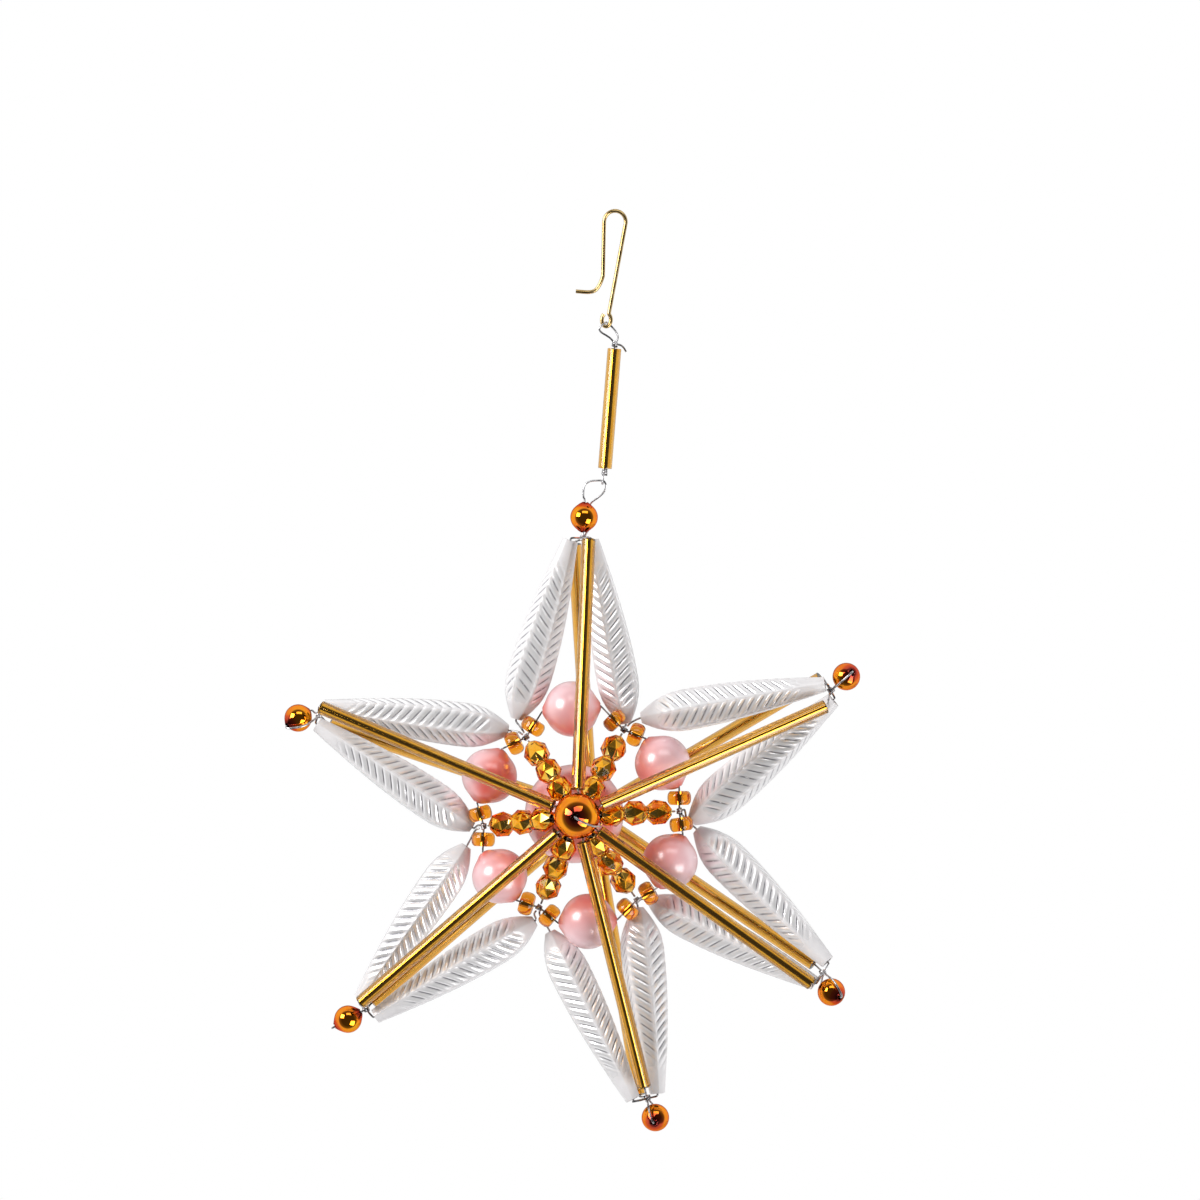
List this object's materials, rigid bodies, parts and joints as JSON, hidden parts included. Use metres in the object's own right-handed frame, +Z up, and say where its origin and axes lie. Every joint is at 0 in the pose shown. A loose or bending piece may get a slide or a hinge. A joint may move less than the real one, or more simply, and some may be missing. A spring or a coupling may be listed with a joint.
{
  "type": "hanging star ornament",
  "caption": "Six-armed hanging star of wired glass beads, deep at its middle, on a short beaded hanger and an open wire hook.",
  "frame": {"origin": "underside of the hook's top bend, where it rests on what holds the ornament up", "axes": "+Z up along the hanging ornament, front of the star facing -Y, +X to the right seen from the front"},
  "size_m": [0.1187, 0.0488, 0.1886],
  "materials": {
    "brass": "polished drawn wire",
    "dark_wire": "dark drawn wire",
    "gold_lined_glass": "clear amber glass tube silvered inside",
    "amber_mirrored_glass": "deep amber blown glass silvered inside",
    "amber_clear_glass": "clear amber glass, tumbled",
    "amber_cut_glass": "cut amber glass, fire polished, silvered bore",
    "pink_satin_glass": "blown glass with a satin pink lacquer",
    "silver_satin_glass": "blown glass with a pearly silver-white lacquer"
  },
  "bodies": {
    "hook": {"hook": "brass"},
    "hanger": {"hanger_wire": "dark_wire"},
    "hanger_tube_body": {"hanger_tube": "gold_lined_glass"},
    "star": {"arm_wire_10": "dark_wire", "arm_wire_12": "dark_wire", "arm_wire_2": "dark_wire", "arm_wire_4": "dark_wire", "arm_wire_6": "dark_wire", "arm_wire_8": "dark_wire", "back_hub_ball": "amber_mirrored_glass", "front_hub_ball": "amber_mirrored_glass", "hub_wire": "dark_wire", "leaf_bead_10_11": "silver_satin_glass", "leaf_bead_10_9": "silver_satin_glass", "leaf_bead_12_1": "silver_satin_glass", "leaf_bead_12_11": "silver_satin_glass", "leaf_bead_2_1": "silver_satin_glass", "leaf_bead_2_3": "silver_satin_glass", "leaf_bead_4_3": "silver_satin_glass", "leaf_bead_4_5": "silver_satin_glass", "leaf_bead_6_5": "silver_satin_glass", "leaf_bead_6_7": "silver_satin_glass", "leaf_bead_8_7": "silver_satin_glass", "leaf_bead_8_9": "silver_satin_glass", "ring_wire_with_seeds": "amber_clear_glass", "spoke_1": "amber_cut_glass", "spoke_11": "amber_cut_glass", "spoke_3": "amber_cut_glass", "spoke_5": "amber_cut_glass", "spoke_7": "amber_cut_glass", "spoke_9": "amber_cut_glass"},
    "back_tube_10_body": {"back_tube_10": "gold_lined_glass"},
    "back_tube_12_body": {"back_tube_12": "gold_lined_glass"},
    "back_tube_2_body": {"back_tube_2": "gold_lined_glass"},
    "back_tube_4_body": {"back_tube_4": "gold_lined_glass"},
    "back_tube_6_body": {"back_tube_6": "gold_lined_glass"},
    "back_tube_8_body": {"back_tube_8": "gold_lined_glass"},
    "centre_pearl_body": {"centre_pearl": "pink_satin_glass"},
    "front_tube_10_body": {"front_tube_10": "gold_lined_glass"},
    "front_tube_12_body": {"front_tube_12": "gold_lined_glass"},
    "front_tube_2_body": {"front_tube_2": "gold_lined_glass"},
    "front_tube_4_body": {"front_tube_4": "gold_lined_glass"},
    "front_tube_6_body": {"front_tube_6": "gold_lined_glass"},
    "front_tube_8_body": {"front_tube_8": "gold_lined_glass"},
    "ring_pearl_10_body": {"ring_pearl_10": "pink_satin_glass"},
    "ring_pearl_12_body": {"ring_pearl_12": "pink_satin_glass"},
    "ring_pearl_2_body": {"ring_pearl_2": "pink_satin_glass"},
    "ring_pearl_4_body": {"ring_pearl_4": "pink_satin_glass"},
    "ring_pearl_6_body": {"ring_pearl_6": "pink_satin_glass"},
    "ring_pearl_8_body": {"ring_pearl_8": "pink_satin_glass"},
    "tip_ball_10_body": {"tip_ball_10": "amber_mirrored_glass"},
    "tip_ball_12_body": {"tip_ball_12": "amber_mirrored_glass"},
    "tip_ball_2_body": {"tip_ball_2": "amber_mirrored_glass"},
    "tip_ball_4_body": {"tip_ball_4": "amber_mirrored_glass"},
    "tip_ball_6_body": {"tip_ball_6": "amber_mirrored_glass"},
    "tip_ball_8_body": {"tip_ball_8": "amber_mirrored_glass"}
  },
  "joints": [
    {"name": "hanger_swing", "type": "hinge", "parent": "hook", "child": "hanger", "pos_m": [-0.00067, 0, -0.02259], "axis": [0, 1, 0], "range_deg": [-35, 35]},
    {"name": "star_swing", "type": "hinge", "parent": "hanger", "child": "star", "pos_m": [0.0004, 0, -0.05508], "axis": [1, 0, 0], "range_deg": [-25, 25]},
    {"name": "hanger_tube_spin", "type": "hinge", "parent": "hanger", "child": "hanger_tube_body", "pos_m": [0.00072, 0, -0.05258], "axis": [0.025, 0, 0.9997], "continuous": true},
    {"name": "front_tube_12_spin", "type": "hinge", "parent": "star", "child": "front_tube_12_body", "pos_m": [0.00022, -0.0152, -0.11831], "axis": [-0.0328, 0.2235, 0.9742], "continuous": true},
    {"name": "back_tube_12_spin", "type": "hinge", "parent": "star", "child": "back_tube_12_body", "pos_m": [-0.00013, 0.0152, -0.11833], "axis": [-0.0955, -0.2271, 0.9692], "continuous": true},
    {"name": "tip_ball_12_spin", "type": "hinge", "parent": "star", "child": "tip_ball_12_body", "pos_m": [-0.00301, 0, -0.0628], "axis": [0, 0, 1], "continuous": true},
    {"name": "front_tube_2_spin", "type": "hinge", "parent": "star", "child": "front_tube_2_body", "pos_m": [0.0052, -0.0152, -0.12124], "axis": [0.8655, 0.2314, 0.4443], "continuous": true},
    {"name": "back_tube_2_spin", "type": "hinge", "parent": "star", "child": "back_tube_2_body", "pos_m": [0.00492, 0.0152, -0.12076], "axis": [0.8161, -0.2259, 0.5319], "continuous": true},
    {"name": "tip_ball_2_spin", "type": "hinge", "parent": "star", "child": "tip_ball_2_body", "pos_m": [0.05263, 0, -0.09248], "axis": [0.4271, -0.8366, 0.343], "continuous": true},
    {"name": "front_tube_4_spin", "type": "hinge", "parent": "star", "child": "front_tube_4_body", "pos_m": [0.00492, -0.0152, -0.12665], "axis": [0.8177, 0.2163, -0.5335], "continuous": true},
    {"name": "back_tube_4_spin", "type": "hinge", "parent": "star", "child": "back_tube_4_body", "pos_m": [0.00508, 0.0152, -0.1264], "axis": [0.8439, -0.2249, -0.4871], "continuous": true},
    {"name": "tip_ball_4_spin", "type": "hinge", "parent": "star", "child": "tip_ball_4_body", "pos_m": [0.05311, 0, -0.15715], "axis": [0.6283, -0.7269, -0.2772], "continuous": true},
    {"name": "front_tube_6_spin", "type": "hinge", "parent": "star", "child": "front_tube_6_body", "pos_m": [0.00188, -0.0152, -0.1289], "axis": [0.2682, 0.2205, -0.9378], "continuous": true},
    {"name": "back_tube_6_spin", "type": "hinge", "parent": "star", "child": "back_tube_6_body", "pos_m": [0.00171, 0.0152, -0.12894], "axis": [0.2367, -0.214, -0.9477], "continuous": true},
    {"name": "tip_ball_6_spin", "type": "hinge", "parent": "star", "child": "tip_ball_6_body", "pos_m": [0.01844, 0, -0.18499], "axis": [0.0103, -0.9541, -0.2993], "continuous": true},
    {"name": "front_tube_8_spin", "type": "hinge", "parent": "star", "child": "front_tube_8_body", "pos_m": [-0.00353, -0.0152, -0.12741], "axis": [-0.7114, 0.2098, -0.6708], "continuous": true},
    {"name": "back_tube_8_spin", "type": "hinge", "parent": "star", "child": "back_tube_8_body", "pos_m": [-0.00345, 0.0152, -0.12749], "axis": [-0.6961, -0.2132, -0.6855], "continuous": true},
    {"name": "tip_ball_8_spin", "type": "hinge", "parent": "star", "child": "tip_ball_8_body", "pos_m": [-0.04605, 0, -0.16861], "axis": [-0.8434, 0, -0.5373], "continuous": true},
    {"name": "front_tube_10_spin", "type": "hinge", "parent": "star", "child": "front_tube_10_body", "pos_m": [-0.00471, -0.0152, -0.12195], "axis": [-0.9237, 0.2159, 0.3164], "continuous": true},
    {"name": "back_tube_10_spin", "type": "hinge", "parent": "star", "child": "back_tube_10_body", "pos_m": [-0.00479, 0.0152, -0.12223], "axis": [-0.9373, -0.2247, 0.2665], "continuous": true},
    {"name": "tip_ball_10_spin", "type": "hinge", "parent": "star", "child": "tip_ball_10_body", "pos_m": [-0.0598, 0, -0.10729], "axis": [-0.6286, -0.5826, -0.5153], "continuous": true},
    {"name": "ring_pearl_2_spin", "type": "hinge", "parent": "star", "child": "ring_pearl_2_body", "pos_m": [0.01599, -0.0015, -0.11226], "axis": [-0.6108, 0, 0.7918], "continuous": true},
    {"name": "ring_pearl_12_spin", "type": "hinge", "parent": "star", "child": "ring_pearl_12_body", "pos_m": [-0.00328, -0.0015, -0.10224], "axis": [-0.9894, 0, -0.1452], "continuous": true},
    {"name": "ring_pearl_10_spin", "type": "hinge", "parent": "star", "child": "ring_pearl_10_body", "pos_m": [-0.01944, -0.0015, -0.11693], "axis": [-0.3673, 0, -0.9301], "continuous": true},
    {"name": "ring_pearl_8_spin", "type": "hinge", "parent": "star", "child": "ring_pearl_8_body", "pos_m": [-0.01618, -0.0015, -0.13736], "axis": [0.6191, 0, -0.7853], "continuous": true},
    {"name": "ring_pearl_6_spin", "type": "hinge", "parent": "star", "child": "ring_pearl_6_body", "pos_m": [0.00244, -0.0015, -0.14556], "axis": [0.9933, 0, 0.1158], "continuous": true},
    {"name": "ring_pearl_4_spin", "type": "hinge", "parent": "star", "child": "ring_pearl_4_body", "pos_m": [0.01868, -0.0015, -0.13229], "axis": [0.3803, 0, 0.9249], "continuous": true},
    {"name": "centre_pearl_spin", "type": "hinge", "parent": "star", "child": "centre_pearl_body", "pos_m": [-0.0019, 0.0024, -0.1238], "axis": [0, 1, 0], "continuous": true}
  ]
}
